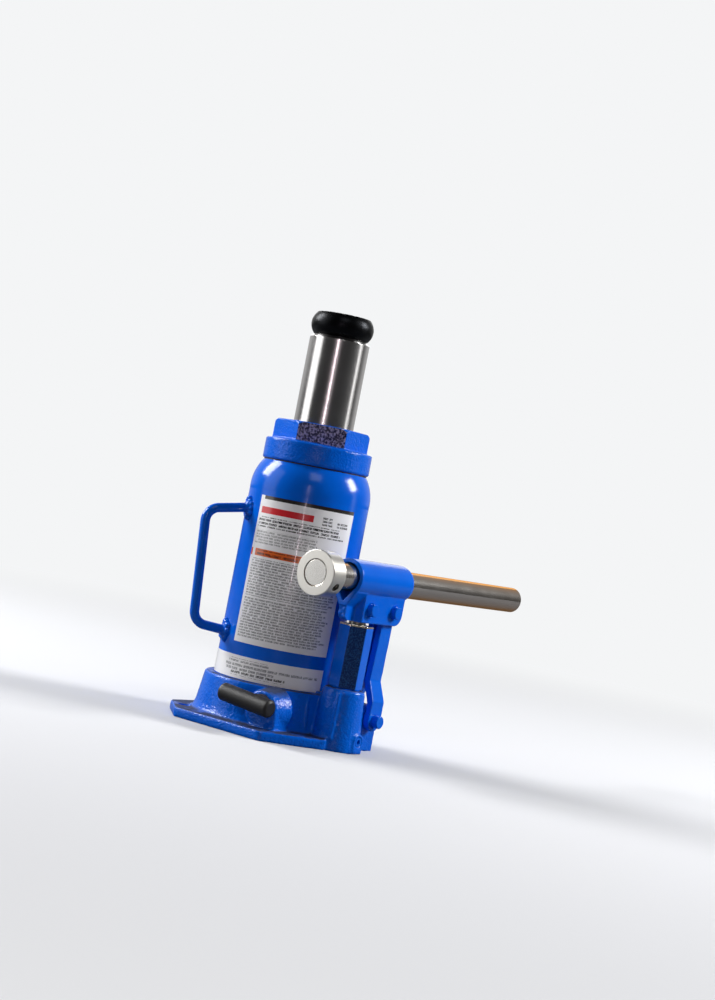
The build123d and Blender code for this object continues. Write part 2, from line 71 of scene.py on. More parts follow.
def add(owner, kind, inputs=(), **settings):
    """Add one node with its settings; inputs are (socket, constant or output) pairs."""
    tree = owner.node_tree
    node = tree.nodes.new(kind)
    for name, value in settings.items():
        setattr(node, name, value)
    for name, value in inputs:
        if isinstance(value, bpy.types.NodeSocket):
            tree.links.new(value, node.inputs[name])
        else:
            node.inputs[name].default_value = value
    return node


print("a mid blue in linear light:", [round(c, 3) for c in linear("#0A50DC")])

# %% [markdown]
# ## The camera
# The jack leans in the picture because the camera is rolled, not because the jack leans. The camera's
# place is given by its distance and height from the tank's axis, and its aim by three angles, in the
# order a tripod head has them: pan, tilt, roll.

# %% Camera
CAMERA_DISTANCE, CAMERA_HEIGHT = 1.3759, 0.1689
CAMERA_SIDE = math.radians(36.99)      # how far the view is turned from looking along +Y
PAN, TILT, ROLL = math.radians(1.42), math.radians(0.19), math.radians(11.02)
LENS = 69.13

camera_data = bpy.data.cameras.new("camera")
camera_data.lens = LENS
camera_data.clip_start = 0.05
camera = bpy.data.objects.new("camera", camera_data)
bpy.context.scene.collection.objects.link(camera)
turned = Matrix.Rotation(CAMERA_SIDE, 4, "Z")
aim = (Matrix.Rotation(-PAN, 4, "Z") @ Matrix.Rotation(math.pi / 2 + TILT, 4, "X")
       @ Matrix.Rotation(ROLL, 4, "Z"))
camera.matrix_world = turned @ Matrix.Translation((0, -CAMERA_DISTANCE, CAMERA_HEIGHT)) @ aim
bpy.context.scene.camera = camera
print("camera at", [round(v, 3) for v in camera.matrix_world.translation])

# %% [markdown]
# ## Floor, surroundings and lights
# Two soft boxes stand to the sides and a little behind, so the iron's flanks are bright and its front is
# deep in colour. Chrome shows its surroundings, so three dim panels at the jack's own height draw the white
# bands down the ram and light the bar's end, and a narrow strip draws the fine line down tank and label. The
# floor fades into the same pale tone as the background, so no horizon line crosses the picture. The camera
# sees the pale tone everywhere, and the other rays see a darker studio.

# %% Studio
PALE = "#F4F5F6"
AWAY = CAMERA_SIDE + math.pi / 2       # direction from the camera past the jack
TO_CAMERA = CAMERA_SIDE - math.pi / 2
JACK_MIDDLE, FLOOR_R = 0.14, 14
# name, degrees round from the camera, then metres away, high, wide and tall, then watts and tint
SOFT_BOXES = [
    ("left soft box", -108, 1.45, 1.0, 0.6, 0.8, 34, "#FFFFFF"),
    ("right soft box", 92, 1.45, 1.0, 0.45, 0.6, 30, "#FFFFFF"),
    ("front soft box", 6, 1.7, 1.9, 0.8, 0.8, 5.5, "#FFFFFF"),
    ("left panel", -84, 1.6, 0.5, 0.95, 1.6, 8.5, "#FFFFFF"),
    ("right panel", 92, 1.6, 0.5, 0.26, 1.6, 2.2, "#FFFFFF"),
    ("front panel", -3, 2.2, 0.4, 0.75, 1.2, 0.65, "#FFFFFF"),
    ("front strip", -4, 2.1, 0.4, 0.05, 1.1, 2.4, "#FFE4EE"),
    ("rear fill", 180, 2.4, 1.2, 1.8, 1.2, 9, "#FFFFFF"),
]

bpy.context.scene.view_settings.view_transform = "Standard"
world = bpy.data.worlds.new("studio")
bpy.context.scene.world = world
world.use_nodes = True
world.node_tree.nodes.clear()
direction = add(world, "ShaderNodeTexCoord").outputs["Generated"]
behind = add(world, "ShaderNodeVectorMath", [(0, direction), (1, (math.cos(AWAY), math.sin(AWAY), 0))],
             operation="DOT_PRODUCT").outputs["Value"]
glow = add(world, "ShaderNodeMapRange", [("Value", behind), ("From Min", 0.35), ("From Max", 0.75),
                                         ("To Min", 0.04), ("To Max", 0.6)]).outputs["Result"]
surroundings = add(world, "ShaderNodeBackground", [("Strength", glow)])
backdrop = add(world, "ShaderNodeBackground", [("Color", linear(PALE)), ("Strength", 1.0)])
seen = add(world, "ShaderNodeLightPath").outputs["Is Camera Ray"]
both = add(world, "ShaderNodeMixShader", [(0, seen), (1, surroundings.outputs[0]), (2, backdrop.outputs[0])])
add(world, "ShaderNodeOutputWorld", [("Surface", both.outputs[0])])


def soft_box(name, azimuth, distance, height, width, tall, watts, tint):
    """An area light aimed at the jack's middle, hidden from the camera but not from reflections."""
    light = bpy.data.lights.new(name, "AREA")
    light.shape = "RECTANGLE"
    light.size, light.size_y, light.energy = width, tall, watts
    light.color = linear(tint)[:3]
    box = bpy.data.objects.new(name, light)
    bpy.context.scene.collection.objects.link(box)
    place = Vector((distance * math.cos(azimuth), distance * math.sin(azimuth), height))
    box.location = place
    box.rotation_euler = (Vector((0, 0, JACK_MIDDLE)) - place).to_track_quat("-Z", "Y").to_euler()
    box.visible_camera = False


for name, degrees, *measures in SOFT_BOXES:
    soft_box(name, TO_CAMERA + math.radians(degrees), *measures)

floor_material = bpy.data.materials.new("matt_paper_sweep")
floor_material.use_nodes = True
floor_material.node_tree.nodes.clear()
spot = add(floor_material, "ShaderNodeTexCoord").outputs["Object"]
far = add(floor_material, "ShaderNodeVectorMath", [(0, spot)], operation="LENGTH").outputs["Value"]
fade = add(floor_material, "ShaderNodeMapRange", [("Value", far), ("From Min", 0.35), ("From Max", 1.3)],
           interpolation_type="SMOOTHSTEP").outputs["Result"]
only_seen = add(floor_material, "ShaderNodeLightPath").outputs["Is Camera Ray"]
fade = add(floor_material, "ShaderNodeMath", [(0, fade), (1, only_seen)], operation="MULTIPLY").outputs[0]
shade = add(floor_material, "ShaderNodeMix", [("Factor", only_seen), ("A", linear("#707276")),
                                              ("B", linear("#D0D1D4"))], data_type="RGBA").outputs["Result"]
paper = add(floor_material, "ShaderNodeBsdfDiffuse", [("Color", shade)])
pale = add(floor_material, "ShaderNodeEmission", [("Color", linear(PALE))])
mixed = add(floor_material, "ShaderNodeMixShader", [(0, fade), (1, paper.outputs[0]), (2, pale.outputs[0])])
add(floor_material, "ShaderNodeOutputMaterial", [("Surface", mixed.outputs[0])])
bpy.ops.mesh.primitive_circle_add(vertices=96, radius=FLOOR_R, fill_type="NGON", location=(0, 0, 0))
floor = bpy.context.object
floor.name = "floor"
floor.data.materials.append(floor_material)
print("studio with", len(SOFT_BOXES), "soft boxes and panels")

# %% [markdown]
# ## Gloss enamel
# The jack is dipped or sprayed with a bright blue alkyd enamel. Over drawn steel it lies smooth, with a
# faint orange peel a few millimetres wide. Over sand-cast iron it fills the grit only in part, so the
# highlights break up. One function makes both: it takes the size and the height of the grain. Two more
# change the colour in places, and both are guesses. The one flat of each hexagon that faces the camera gets
# painted shade with paler painted glints, while the other flats stay blue. Faces that look up turn darker
# grey and rougher, in clouds.

# %% Enamel
ENAMEL_BLUE, ENAMEL_DEEP = "#006AE4", "#0059CE"
ENAMEL_ROUGHNESS, UPWARD_ROUGHNESS, ENAMEL_IOR = 0.16, 0.9, 1.33
FILED_STEEL, UPWARD_GREY = "#E9DCC6", "#34373C"
PEEL_MM, DRIFT_MM, CLOUD_MM = 4.5, 24, 14     # orange peel, slow change of blue, clouds of grey on upward faces
PAINT_EDGE_MM = 0.5                           # how far the paint rounds an edge


def new_material(name):
    """A material with a Principled shader: returns it, the shader and the Object coordinates."""
    material = bpy.data.materials.new(name)
    material.use_nodes = True
    material.node_tree.nodes.clear()
    shader = add(material, "ShaderNodeBsdfPrincipled")
    add(material, "ShaderNodeOutputMaterial", [("Surface", shader.outputs[0])])
    return material, shader, add(material, "ShaderNodeTexCoord").outputs["Object"]


def per_metre(millimetres):
    """The texture scale whose pattern repeats about every so many millimetres."""
    return 1 / (millimetres * MM)


def link(material, output, shader, socket):
    """Feed a socket of the shader."""
    material.node_tree.links.new(output, shader.inputs[socket])


def painted_shade_on_flat(material, spot, colour, turn_degrees, low_mm, speck_mm, shade_colour, glint_colour):
    """Painted shade, with paler painted glints, on the flat of a hexagon that faces turn_degrees, above low_mm.
    One flat of a hexagon, guessed to be thinly painted scale: dark hollows between paler peaks.
    """
    turn = math.radians(turn_degrees)
    facing = add(material, "ShaderNodeNewGeometry").outputs["True Normal"]
    toward = add(material, "ShaderNodeVectorMath", [(0, facing), (1, (math.cos(turn), math.sin(turn), 0))],
                 operation="DOT_PRODUCT").outputs["Value"]
    flat = add(material, "ShaderNodeMapRange", [("Value", toward), ("From Min", 0.9), ("From Max", 0.96)])
    height = add(material, "ShaderNodeSeparateXYZ", [(0, spot)]).outputs["Z"]
    above = add(material, "ShaderNodeMath", [(0, height), (1, low_mm * MM)], operation="GREATER_THAN")
    mask = add(material, "ShaderNodeMath", [(0, flat.outputs["Result"]), (1, above.outputs[0])],
               operation="MULTIPLY")
    # Paler specks on the dark: painted glints on the painted shade.
    specks = add(material, "ShaderNodeTexNoise", [("Vector", spot), ("Scale", per_metre(speck_mm))])
    scale = add(material, "ShaderNodeMapRange", [("Value", specks.outputs["Fac"]), ("From Min", 0.42),
                                                 ("From Max", 0.64)])
    shade_and_glints = add(material, "ShaderNodeMix", [("Factor", scale.outputs["Result"]), ("A", linear(shade_colour)),
                                          ("B", linear(glint_colour))], data_type="RGBA").outputs["Result"]
    return add(material, "ShaderNodeMix", [("Factor", mask.outputs[0]), ("A", colour), ("B", shade_and_glints)],
               data_type="RGBA").outputs["Result"]


def grey_on_upward_faces(material, shader, spot, colour, amount):
    """Darker grey on faces that look up, thicker in clouds, and rougher with it."""
    facing = add(material, "ShaderNodeNewGeometry").outputs["Normal"]
    up = add(material, "ShaderNodeSeparateXYZ", [(0, facing)]).outputs["Z"]
    flat = add(material, "ShaderNodeMapRange", [("Value", up), ("From Min", 0.6), ("From Max", 0.9)])
    drifts = add(material, "ShaderNodeTexNoise", [("Vector", spot), ("Scale", per_metre(CLOUD_MM)),
                                                  ("Detail", 4.0)])
    cloud = add(material, "ShaderNodeMapRange", [("Value", drifts.outputs["Fac"]), ("From Min", 0.22),
                                                 ("From Max", 0.5), ("To Max", amount)])
    cover = add(material, "ShaderNodeMath", [(0, flat.outputs["Result"]), (1, cloud.outputs["Result"])],
                operation="MULTIPLY").outputs[0]
    rough = add(material, "ShaderNodeMapRange", [("Value", cover), ("To Min", ENAMEL_ROUGHNESS),
                                                 ("To Max", UPWARD_ROUGHNESS)])
    link(material, rough.outputs["Result"], shader, "Roughness")
    return add(material, "ShaderNodeMix", [("Factor", cover), ("A", colour), ("B", linear(UPWARD_GREY))],
               data_type="RGBA").outputs["Result"]


def enamel(name, grain_mm, grain_height_mm, peel_height_mm, upward_grey=0.0, bare_above=None, shaded_flat=None):
    """Blue gloss enamel. Grain is the iron's grit under it, peel the paint's own waves."""
    material, shader, spot = new_material(name)
    drift = add(material, "ShaderNodeTexNoise", [("Vector", spot), ("Scale", per_metre(DRIFT_MM))])
    colour = add(material, "ShaderNodeMix", [("Factor", drift.outputs["Fac"]), ("A", linear(ENAMEL_DEEP)),
                                             ("B", linear(ENAMEL_BLUE))], data_type="RGBA").outputs["Result"]
    shader.inputs["Roughness"].default_value = ENAMEL_ROUGHNESS
    shader.inputs["IOR"].default_value = ENAMEL_IOR
    if upward_grey:
        colour = grey_on_upward_faces(material, shader, spot, colour, upward_grey)
    # The flat that faces the camera gets painted shade with painted glints.
    if shaded_flat:
        colour = painted_shade_on_flat(material, spot, colour, *shaded_flat)
    if bare_above:
        height = add(material, "ShaderNodeSeparateXYZ", [(0, spot)]).outputs["Z"]
        bare = add(material, "ShaderNodeMath", [(0, height), (1, bare_above * MM)], operation="GREATER_THAN")
        colour = add(material, "ShaderNodeMix",
                     [("Factor", bare.outputs[0]), ("A", colour), ("B", linear(FILED_STEEL))],
                     data_type="RGBA").outputs["Result"]
        link(material, bare.outputs[0], shader, "Metallic")
    link(material, colour, shader, "Base Color")
    peel = add(material, "ShaderNodeTexNoise", [("Vector", spot), ("Scale", per_metre(PEEL_MM))])
    grain = add(material, "ShaderNodeTexNoise", [("Vector", spot), ("Scale", per_metre(grain_mm)),
                                                 ("Detail", 1.5)])
    edge = add(material, "ShaderNodeBevel", [("Radius", PAINT_EDGE_MM * MM)], samples=4).outputs["Normal"]
    waves = add(material, "ShaderNodeBump", [("Height", peel.outputs["Fac"]),
                                             ("Distance", peel_height_mm * MM), ("Normal", edge)])
    grit = add(material, "ShaderNodeBump", [("Height", grain.outputs["Fac"]),
                                            ("Distance", grain_height_mm * MM), ("Normal", waves.outputs[0])])
    link(material, grit.outputs[0], shader, "Normal")
    return material


# The iron's real grit is under a millimetre. It is drawn at 1.5 to 1.7, coarse enough to show from a step away.
# The base's faces that look up turn darker grey and rougher, in clouds.
enamel_on_iron = enamel("gloss_enamel_over_sand_cast_iron", 1.7, 0.45, 0.3, upward_grey=0.9)
# On nut and pump, the flat turned toward the camera (-53 and -48 degrees) gets painted shade with painted
# glints.
enamel_on_nut = enamel("gloss_enamel_over_rough_iron", 1.5, 0.42, 0.15,
                       shaded_flat=(-53.0, 206.8, 1.5, "#0C1440", "#A9A2CC"))
enamel_on_pump = enamel("gloss_enamel_over_rolled_hexagon_bar", 1.4, 0.16, 0.1, bare_above=86.9,
                        shaded_flat=(-48.0, 43.5, 1.0, "#072A60", "#1F4C84"))
enamel_on_steel = enamel("gloss_enamel_over_drawn_steel", 9.0, 0.02, 0.05)
enamel_on_sheet = enamel("gloss_enamel_over_pressed_sheet", 3.0, 0.12, 0.12)
print("enamels on cast iron, nut, pump, drawn steel and pressed sheet")

# %% [markdown]
# ## Bare and plated metals
# A metal's colour is its reflection, so these materials differ by tint and by how they were worked. The
# ram is ground round and hard chromed: a mirror with fine rings. The bar is drawn and zinc plated, so its
# lines run lengthways. Its gold tint where it is seen edge on is a guess, as of a yellow passivated
# plating. Inner parts are turned and oiled, and fittings are blackened.

# %% Metals
SMEAR_MM = 14                  # size of the patches that are wiped cleaner or duller
METAL_EDGE_MM = 0.4


def worked_metal(name, colour, roughness, stretch, line_mm, line_height_mm, smear=0.08, rim="#FFFFFF"):
    """A metal with fine tool marks: stretch squeezes the noise into lines along the small axis."""
    material, shader, spot = new_material(name)
    lines = add(material, "ShaderNodeMapping", [("Vector", spot), ("Scale", stretch)]).outputs[0]
    marks = add(material, "ShaderNodeTexNoise", [("Vector", lines), ("Scale", per_metre(line_mm)),
                                                 ("Detail", 3.0)])
    patches = add(material, "ShaderNodeTexNoise", [("Vector", spot), ("Scale", per_metre(SMEAR_MM))])
    gloss = add(material, "ShaderNodeMapRange", [("Value", patches.outputs["Fac"]),
                                                 ("To Min", roughness - smear / 2),
                                                 ("To Max", roughness + smear / 2)])
    edge = add(material, "ShaderNodeBevel", [("Radius", METAL_EDGE_MM * MM)], samples=4).outputs["Normal"]
    bump = add(material, "ShaderNodeBump", [("Height", marks.outputs["Fac"]),
                                            ("Distance", line_height_mm * MM), ("Normal", edge)])
    link(material, gloss.outputs["Result"], shader, "Roughness")
    link(material, bump.outputs[0], shader, "Normal")
    shader.inputs["Base Color"].default_value = linear(colour)
    shader.inputs["Metallic"].default_value = 1.0
    shader.inputs["Specular Tint"].default_value = linear(rim)
    return material


hard_chrome = worked_metal("ground_hard_chrome", "#D3D1D0", 0.2, (0.15, 0.15, 1), 0.8, 0.006, 0.06)
zinc_bar = worked_metal("drawn_zinc_plated_steel", "#C4C2BE", 0.2, (1, 0.04, 1), 0.9, 0.02, rim="#E8A45A")
zinc_turned = worked_metal("turned_zinc_plated_steel", "#E2DFD8", 0.3, (0.3, 1, 0.3), 0.7, 0.015)
oiled_steel = worked_metal("turned_oiled_steel", "#8E8C88", 0.3, (0.2, 0.2, 1), 0.6, 0.02)
black_oxide = worked_metal("black_oxide_steel", "#17181A", 0.34, (1, 1, 1), 1.2, 0.05, 0.12)
print("metals: chrome, two zinc platings, oiled steel and black oxide")

# %% [markdown]
# ## Rubber and moulded grip
# Seals are nitrile rubber, matt black. The lever's grip is moulded PVC: a satin black with a fine leathery
# grain from the mould, a little greyer where hands have rubbed it.

# %% Rubber and grip
RUBBED_MM = 11


def moulded(name, colour, worn, roughness, grain_mm, grain_height_mm):
    """A soft moulded black with fine grain and faint rubbed patches."""
    material, shader, spot = new_material(name)
    rubbed = add(material, "ShaderNodeTexNoise", [("Vector", spot), ("Scale", per_metre(RUBBED_MM)),
                                                  ("Detail", 3.0)])
    tone = add(material, "ShaderNodeMix", [("Factor", rubbed.outputs["Fac"]), ("A", linear(colour)),
                                           ("B", linear(worn))], data_type="RGBA")
    grain = add(material, "ShaderNodeTexVoronoi", [("Vector", spot), ("Scale", per_metre(grain_mm))])
    bump = add(material, "ShaderNodeBump", [("Height", grain.outputs["Distance"]),
                                            ("Distance", grain_height_mm * MM)])
    link(material, tone.outputs["Result"], shader, "Base Color")
    link(material, bump.outputs[0], shader, "Normal")
    shader.inputs["Roughness"].default_value = roughness
    return material


grip_pvc = moulded("satin_moulded_pvc", "#0B0B0C", "#171617", 0.48, 0.7, 0.03)
nitrile = moulded("matt_nitrile_rubber", "#161616", "#232323", 0.65, 1.0, 0.05)
print("soft materials: PVC grip and nitrile seals")

# %% [markdown]
# ## Printed labels
# Both labels are white gloss vinyl, screen printed and wrapped round the tank. The print follows the
# film, so its coordinates are the distance along the tank's curve, from the arc tangent of y and x, and
# the height, both in millimetres. Real copy is replaced by plain blocks and by greeked lines: rows of
# bricks whose mortar is bare paper, shifted by a different amount in each row so that words never line up.

# %% Label helpers
TANK_R = 43.45                          # mm, the film's middle
INK, PAPER, PAPER_DULL = "#15130F", "#FCFCFC", "#F2F2F4"


def film_coordinates(material, spot, left_degrees, low_mm):
    """Millimetres along the film from its left edge, and up from its lower edge."""
    part = add(material, "ShaderNodeSeparateXYZ", [(0, spot)])
    turn = add(material, "ShaderNodeMath", [(0, part.outputs["Y"]), (1, part.outputs["X"])],
               operation="ARCTAN2").outputs[0]
    along = add(material, "ShaderNodeMath", [(0, turn), (1, TANK_R), (2, -math.radians(left_degrees) * TANK_R)],
                operation="MULTIPLY_ADD").outputs[0]
    up = add(material, "ShaderNodeMath", [(0, part.outputs["Z"]), (1, 1 / MM), (2, -low_mm)],
             operation="MULTIPLY_ADD").outputs[0]
    return along, up


def block(material, along, up, x0, x1, y0, y1):
    """The mask of a printed rectangle, in film millimetres."""
    across = add(material, "ShaderNodeMath", [(0, along), (1, (x0 + x1) / 2), (2, (x1 - x0) / 2)],
                 operation="COMPARE").outputs[0]
    high = add(material, "ShaderNodeMath", [(0, up), (1, (y0 + y1) / 2), (2, (y1 - y0) / 2)],
               operation="COMPARE").outputs[0]
    return add(material, "ShaderNodeMath", [(0, across), (1, high)], operation="MULTIPLY").outputs[0]


def greeked(material, along, up, x0, x1, y0, y1, pitch, word, ragged):
    """Rows of plain dashes in a rectangle: pitch is the line spacing, word a dash's mean length."""
    row = add(material, "ShaderNodeMath", [(0, up), (1, pitch)], operation="DIVIDE").outputs[0]
    row = add(material, "ShaderNodeMath", [(0, row)], operation="FLOOR").outputs[0]
    chance = add(material, "ShaderNodeTexWhiteNoise", [("W", row)], noise_dimensions="1D").outputs["Value"]
    here = add(material, "ShaderNodeCombineXYZ", [(0, along), (1, row)]).outputs[0]
    stretch = add(material, "ShaderNodeTexNoise", [("Vector", here), ("Scale", 0.21)]).outputs["Fac"]
    shift = add(material, "ShaderNodeMath", [(0, chance), (1, 9.0), (2, along)], operation="MULTIPLY_ADD")
    shift = add(material, "ShaderNodeMath", [(0, stretch), (1, 7.0), (2, shift.outputs[0])],
                operation="MULTIPLY_ADD").outputs[0]
    place = add(material, "ShaderNodeCombineXYZ", [(0, shift), (1, up)]).outputs[0]
    bricks = add(material, "ShaderNodeTexBrick", [("Vector", place), ("Scale", 1.0), ("Brick Width", word),
                                                  ("Row Height", pitch), ("Mortar Size", pitch * 0.2),
                                                  ("Mortar Smooth", 0.3)])
    ink = add(material, "ShaderNodeMath", [(0, 1.0), (1, bricks.outputs["Fac"])], operation="SUBTRACT")
    specks = add(material, "ShaderNodeTexNoise", [("Vector", place), ("Scale", 2.6 / pitch), ("Detail", 1.0)])
    specks = add(material, "ShaderNodeMapRange", [("Value", specks.outputs["Fac"]), ("From Min", 0.36),
                                                  ("From Max", 0.56), ("To Min", 0.25)]).outputs["Result"]
    limit = add(material, "ShaderNodeMath", [(0, chance), (1, -ragged), (2, x1)], operation="MULTIPLY_ADD")
    short = add(material, "ShaderNodeMath", [(0, along), (1, limit.outputs[0])], operation="LESS_THAN")
    words = ink.outputs[0]
    for mask in (specks, short.outputs[0], block(material, along, up, x0, x1, y0, y1)):
        words = add(material, "ShaderNodeMath", [(0, words), (1, mask)], operation="MULTIPLY").outputs[0]
    return words


def printed_vinyl(name, left_degrees, low_mm, prints):
    """White vinyl; prints are (mask maker, its numbers, ink colour, strength), laid one over the other."""
    material, shader, spot = new_material(name)
    along, up = film_coordinates(material, spot, left_degrees, low_mm)
    fading = add(material, "ShaderNodeTexNoise", [("Vector", spot), ("Scale", per_metre(30))])
    colour = add(material, "ShaderNodeMix", [("Factor", fading.outputs["Fac"]), ("A", linear(PAPER_DULL)),
                                             ("B", linear(PAPER))], data_type="RGBA").outputs["Result"]
    for maker, numbers, ink, strength in prints:
        mask = add(material, "ShaderNodeMath", [(0, maker(material, along, up, *numbers)), (1, strength)],
                   operation="MULTIPLY").outputs[0]
        colour = add(material, "ShaderNodeMix", [("Factor", mask), ("A", colour), ("B", linear(ink))],
                     data_type="RGBA").outputs["Result"]
    link(material, colour, shader, "Base Color")
    waves = add(material, "ShaderNodeTexNoise", [("Vector", spot), ("Scale", per_metre(12))])
    ripple = add(material, "ShaderNodeBump", [("Height", waves.outputs["Fac"]), ("Distance", 0.05 * MM)])
    link(material, ripple.outputs[0], shader, "Normal")
    shader.inputs["Roughness"].default_value = 0.3
    shader.inputs["Coat Weight"].default_value = 0.6
    shader.inputs["Coat Roughness"].default_value = 0.05
    return material


print("paper", PAPER, "and ink", INK)

# %% The two labels
# In mm: left, right, low and high edges, then for greeked rows the pitch, dash length and raggedness.
ORANGE_INK, RED_INK, GREY_INK = "#E4661C", "#D8202A", "#3B3B3D"
main_print = [
    (block, (3.5, 74.5, 101.4, 104.5), "#231D1A", 1.0),
    (block, (2.5, 43.0, 91.6, 96.2), RED_INK, 1.0),
    (greeked, (49.5, 57.5, 90.6, 97.2, 2.2, 6.5, 1.0), INK, 0.9),
    (greeked, (61.0, 70.5, 90.6, 94.9, 2.2, 8.5, 1.0), INK, 0.9),
    (greeked, (2.0, 70.0, 81.9, 89.25, 2.45, 7.5, 12.0), INK, 1.0),
    (greeked, (2.0, 50.0, 70.3, 80.0, 1.94, 5.0, 9.0), INK, 0.62),
    (block, (0.0, 1.4, 61.6, 66.6), ORANGE_INK, 1.0),
    (block, (4.0, 70.5, 61.6, 66.6), ORANGE_INK, 1.0),
    (greeked, (6.0, 50.0, 62.3, 66.0, 3.8, 13.0, 2.0), "#3A140A", 0.85),
    (greeked, (2.5, 71.0, 33.2, 59.8, 1.9, 5.5, 5.0), INK, 0.72),
    (greeked, (2.5, 70.0, 3.6, 32.3, 1.9, 5.0, 8.0), INK, 0.72),
]
strip_print = [
    (greeked, (30.0, 63.0, 11.2, 13.8, 2.6, 8.0, 2.0), GREY_INK, 0.7),
    (greeked, (27.0, 103.0, 8.2, 10.8, 2.6, 9.0, 3.0), GREY_INK, 0.7),
    (greeked, (28.0, 70.0, 5.2, 7.8, 2.6, 7.0, 3.0), GREY_INK, 0.7),
    (greeked, (34.0, 76.0, 2.1, 4.9, 2.8, 6.0, 2.0), INK, 0.95),
]
main_vinyl = printed_vinyl("screen_printed_gloss_vinyl", -102.0, 60.5, main_print)
strip_vinyl = printed_vinyl("screen_printed_gloss_vinyl_strip", -143.0, 35.3, strip_print)
print(len(main_print) + len(strip_print), "printed areas on two labels")

# %% [markdown]
# ## Softened copies of the iron and sheet pieces
# A casting has no sharp corner: the sand mould, the fettling wheel and two coats of paint round every
# edge and fill every inner corner. Modelling each of those fillets by hand would take a day. Instead the
# CAD piece is copied, wrapped in an even skin of small quads by a voxel remesh, and relaxed by a smooth
# modifier, which rounds all corners by about the same amount. The copy's loose triangles are merged first.

# %% Copy, join, remesh and relax


def copy_of(names, new_name):
    """One new object with the meshes of these CAD nodes, their vertices merged."""
    bpy.ops.object.select_all(action="DESELECT")
    for name in names:
        copy = nodes[name].copy()
        copy.data = nodes[name].data.copy()
        copy.parent = None
        for key in list(copy.keys()):
            del copy[key]
        bpy.context.scene.collection.objects.link(copy)
        copy.select_set(True)
        bpy.context.view_layer.objects.active = copy
    if len(names) > 1:
        bpy.ops.object.join()
    piece = bpy.context.object
    piece.name = new_name
    piece.data.name = new_name
    if piece.data.has_custom_normals:
        bpy.ops.mesh.customdata_custom_splitnormals_clear()
    bpy.ops.object.mode_set(mode="EDIT")
    bpy.ops.mesh.select_all(action="SELECT")
    bpy.ops.mesh.remove_doubles(threshold=0.005 * MM)
    bpy.ops.object.mode_set(mode="OBJECT")
    return piece


def merge_into(piece, others):
    """Join other meshes into piece; the remesh that follows fuses them."""
    select_only(piece)
    for other in others:
        other.select_set(True)
    bpy.ops.object.join()


def apply_all(piece):
    """Apply every modifier of a piece, in order."""
    select_only(piece)
    for modifier in list(piece.modifiers):
        bpy.ops.object.modifier_apply(modifier=modifier.name)


def soften(piece, voxel_mm, passes, grit_mm=0.0):
    """Even skin, relaxed corners and, for castings, a little real unevenness."""
    skin = piece.modifiers.new("skin", "REMESH")
    skin.mode = "VOXEL"
    skin.voxel_size = voxel_mm * MM
    relax = piece.modifiers.new("relax", "SMOOTH")
    relax.factor, relax.iterations = 0.5, passes
    if grit_mm:
        sand = bpy.data.textures.new("sand", "CLOUDS")
        sand.noise_scale = 3.2 * MM
        uneven = piece.modifiers.new("uneven", "DISPLACE")
        uneven.texture, uneven.strength, uneven.mid_level = sand, grit_mm * MM, 0.5
    apply_all(piece)
    bpy.ops.object.shade_smooth()


def settle(piece, body, slot_name, material, *stands_for):
    """Give a finished piece its material, its body and the CAD nodes that it stands for."""
    piece.data.materials.clear()
    piece.data.materials.append(material)
    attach(piece, body)
    if stands_for:
        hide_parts(*stands_for)
    triangles = sum(len(p.vertices) - 2 for p in piece.data.polygons)
    print(piece.name, "rides on", body, "with", triangles, "triangles")


def rod(start, end, radius_mm, sides=12):
    """A round bar between two points in millimetres."""
    start, end = Vector(start) * MM, Vector(end) * MM
    run = end - start
    bpy.ops.object.select_all(action="DESELECT")
    lean = run.to_track_quat("Z", "Y").to_euler()
    bpy.ops.mesh.primitive_cylinder_add(vertices=sides, radius=radius_mm * MM, depth=run.length,
                                        location=(start + end) / 2, rotation=lean)
    bar = bpy.context.object
    bpy.ops.object.transform_apply(location=True, rotation=True, scale=True)
    return bar


def blob(place, radii_mm):
    """A drop of weld metal or paint: a small sphere squeezed to three radii, in millimetres."""
    bpy.ops.object.select_all(action="DESELECT")
    bpy.ops.mesh.primitive_uv_sphere_add(segments=16, ring_count=10, radius=MM, location=Vector(place) * MM,
                                         scale=radii_mm)
    drop = bpy.context.object
    bpy.ops.object.transform_apply(location=True, rotation=True, scale=True)
    return drop


print("piece helpers ready")

# %% [markdown]
# ## The cast base
# The base is grey iron, cast in sand in two halves, so thin ridges of flash run where the halves met: down
# the pump boss and down the tank's collar. The ridges are laid on as thin bars before the remesh, which
# fuses them with the casting. A low displacement gives the surface its sandy unevenness.

# %% Cast base
PUMP_X = 62.0
BOSS_FOOT_R, COLLAR_FOOT_R = 18.0, 54.2
BOSS_LEAN = (BOSS_FOOT_R - 14.6) / 43.0      # how much the radius shrinks for each mm of height
COLLAR_LEAN = (COLLAR_FOOT_R - 49.6) / 35.0
PROUD = 0.3                                  # the ridge's middle stands this far off the wall


def flash(centre_x, turn, foot_r, lean, low, high, radius_mm):
    """A ridge of flash up a leaning round wall."""
    across = Vector((math.cos(turn), math.sin(turn), 0))
    middle = Vector((centre_x, 0, 0))
    ends = [middle + across * (foot_r - lean * z + PROUD) + Vector((0, 0, z)) for z in (low, high)]
    return rod(*ends, radius_mm, 8)


base = copy_of(["base_casting"], "cast_base")
merge_into(base, [flash(PUMP_X, math.radians(-66), BOSS_FOOT_R, BOSS_LEAN, 8, 40, 1.35),
                  flash(0, math.radians(-22), COLLAR_FOOT_R, COLLAR_LEAN, 8, 32, 1.0)])
soften(base, 0.85, 5, grit_mm=0.2)
settle(base, "frame", "blue_casting", enamel_on_iron, "base_casting")

# %% [markdown]
# ## Nut, pump and links
# The top nut is turned from a rough casting and keeps its grit on the flats. The pump body is hexagon bar
# whose top, filed back, is bare metal. The links are flat bar, sheared and joggled, so their edges are
# only lightly broken. All get the same softening, with a smaller voxel where the edges are crisper.

